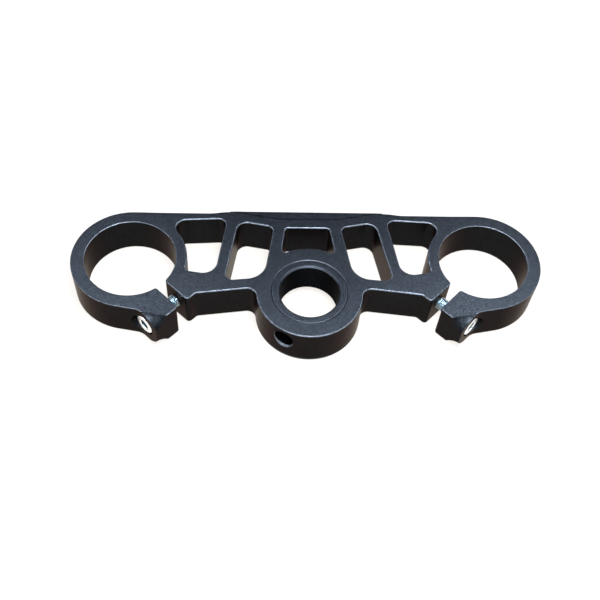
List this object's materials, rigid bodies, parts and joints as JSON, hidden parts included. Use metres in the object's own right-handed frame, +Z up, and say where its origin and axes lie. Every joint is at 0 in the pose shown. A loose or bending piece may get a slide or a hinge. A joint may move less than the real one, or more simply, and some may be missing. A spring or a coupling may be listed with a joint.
{
  "type": "motorcycle triple clamp",
  "caption": "Flat machined fork yoke with a split clamp ring at each end, a cap screw across each slit, lightening windows, and a round centre boss with a bush for the steering stem.",
  "frame": {"origin": "on the steering stem axis at mid-thickness of the plate, level with the axes of both clamp screws", "axes": "+Z up along the stem and the fork legs, +X from the left clamp to the right clamp, +Y from the stem towards the fork axes; the clamp screws are on the -Y side"},
  "size_m": [0.282, 0.0909, 0.0262],
  "materials": {
    "anodised_black": "bead-blasted and anodised black, satin, with bright machined edge chamfers",
    "bush_black": "turned and anodised black, satin",
    "zinc_steel": "bright zinc plate"
  },
  "bodies": {
    "root": {"yoke": "anodised_black", "stem_bush": "bush_black", "clamp_screw_left": "zinc_steel", "clamp_screw_right": "zinc_steel"}
  },
  "joints": []
}
